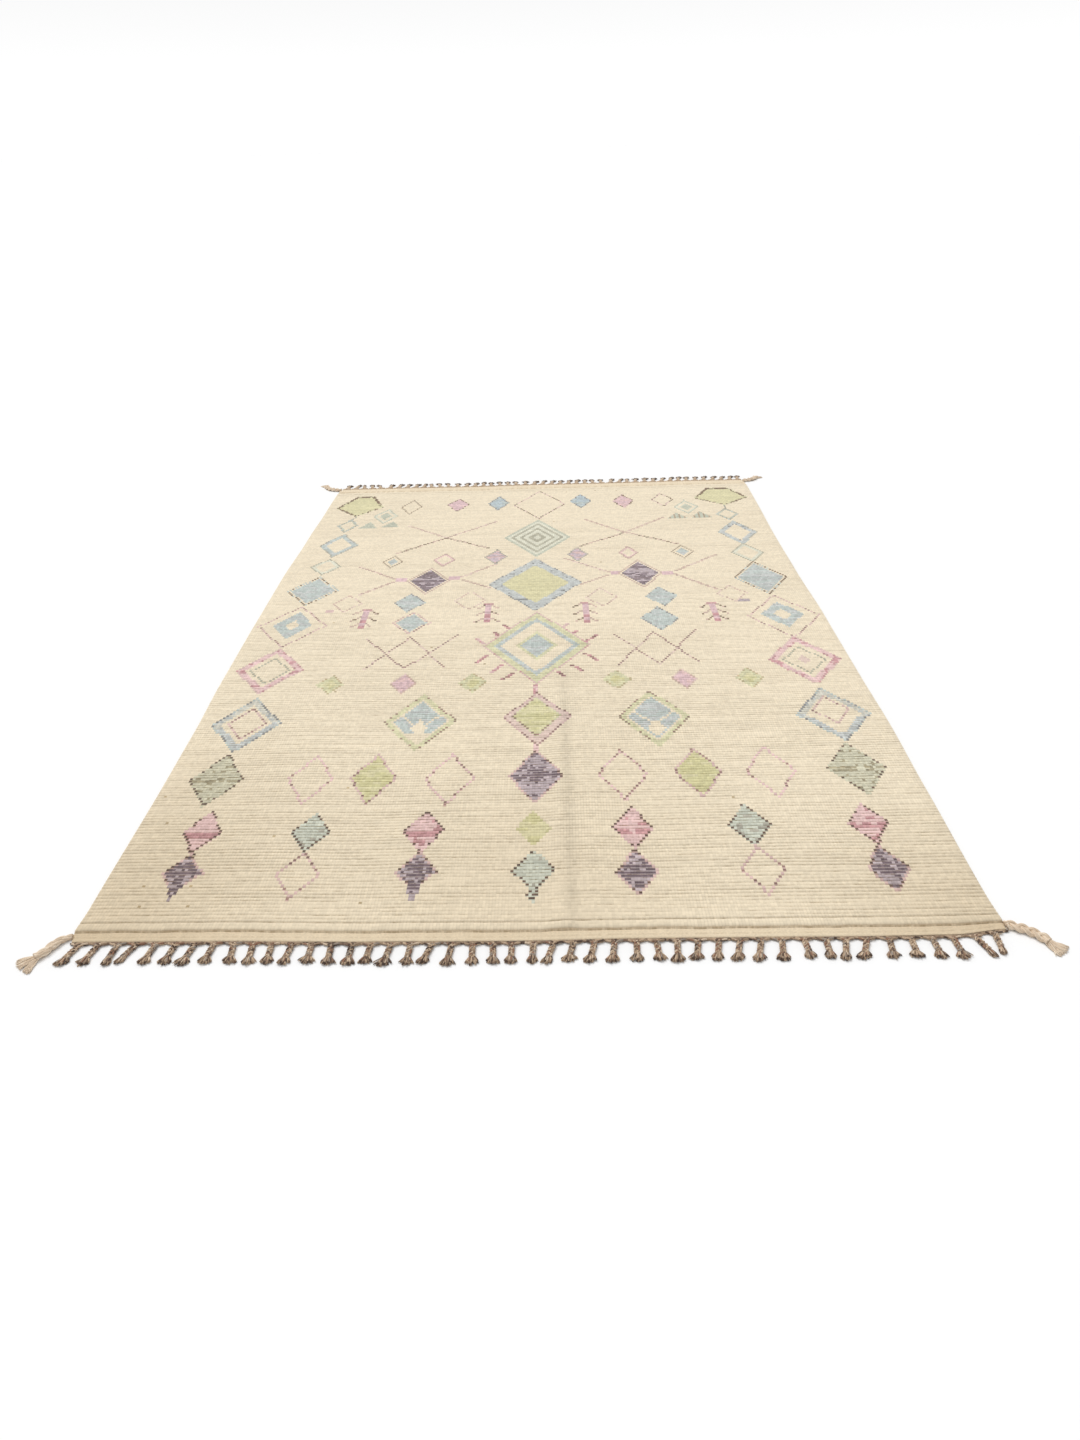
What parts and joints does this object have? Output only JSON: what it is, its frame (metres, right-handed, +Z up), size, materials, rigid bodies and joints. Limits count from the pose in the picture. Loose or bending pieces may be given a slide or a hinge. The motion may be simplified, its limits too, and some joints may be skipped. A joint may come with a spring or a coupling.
{
  "type": "afghan rug",
  "caption": "Flat-lying hand-knotted wool rug with a cream pile field, flat-woven ends, twined tassel fringes and plaited corner cords.",
  "frame": {"origin": "on the floor under the middle of the woven rug, on its flat underside", "axes": "+Z up out of the pile, +Y along the rug from its near end to its far end, +X across it to the right"},
  "size_m": [2.2041, 3.1784, 0.014],
  "materials": {
    "pile": "short cut wool pile, matt",
    "tassel_yarn": "twisted goat hair and wool yarn, matt",
    "plait_yarn": "plaited undyed wool yarn, matt"
  },
  "bodies": {
    "root": {"rug": "pile", "fringe_near": "tassel_yarn", "fringe_far": "tassel_yarn", "plait_near_left": "plait_yarn", "plait_near_right": "plait_yarn", "plait_far_left": "plait_yarn", "plait_far_right": "plait_yarn"}
  },
  "joints": []
}
